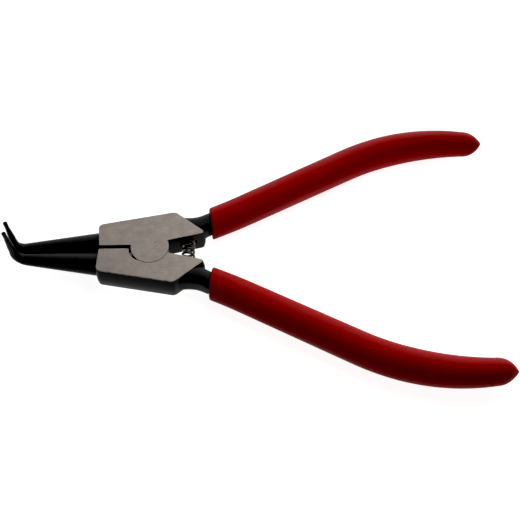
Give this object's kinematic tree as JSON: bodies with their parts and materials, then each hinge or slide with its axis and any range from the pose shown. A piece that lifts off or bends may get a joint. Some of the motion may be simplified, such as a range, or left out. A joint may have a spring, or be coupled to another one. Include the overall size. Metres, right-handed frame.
{
  "type": "circlip pliers",
  "caption": "External circlip pliers: lapped steel halves on a flush pivot, round tapered jaws with upturned pin tips, coil return spring and dipped grips on bowed handles.",
  "frame": {"origin": "on the pivot axis, at the head's ground back face", "axes": "+X along the tool from the pivot towards the handles, +Y towards the upper handle, +Z along the pivot axis out of the front face, the way the tips are bent"},
  "size_m": [0.171, 0.1066, 0.0225],
  "materials": {
    "black_oxide_steel": "black oxide on forged steel, with the two faces of the head ground bright",
    "ground_steel": "surface ground",
    "spring_steel": "drawn wire, oiled",
    "dipped_pvc": "dipped soft plastic, semi-gloss"
  },
  "bodies": {
    "lower_half": {"lower_lever": "black_oxide_steel", "lower_grip": "dipped_pvc", "pivot_rivet": "ground_steel", "return_spring": "spring_steel"},
    "upper_half": {"upper_lever": "black_oxide_steel", "upper_grip": "dipped_pvc"}
  },
  "joints": [
    {"name": "squeeze", "type": "hinge", "parent": "lower_half", "child": "upper_half", "pos_m": [0, 0, 0.0046], "axis": [0, 0, -1], "range_deg": [0, 28], "stiffness_Nm_per_rad": 0.25, "springref_deg": -14.32, "deforming": ["return_spring"]}
  ]
}
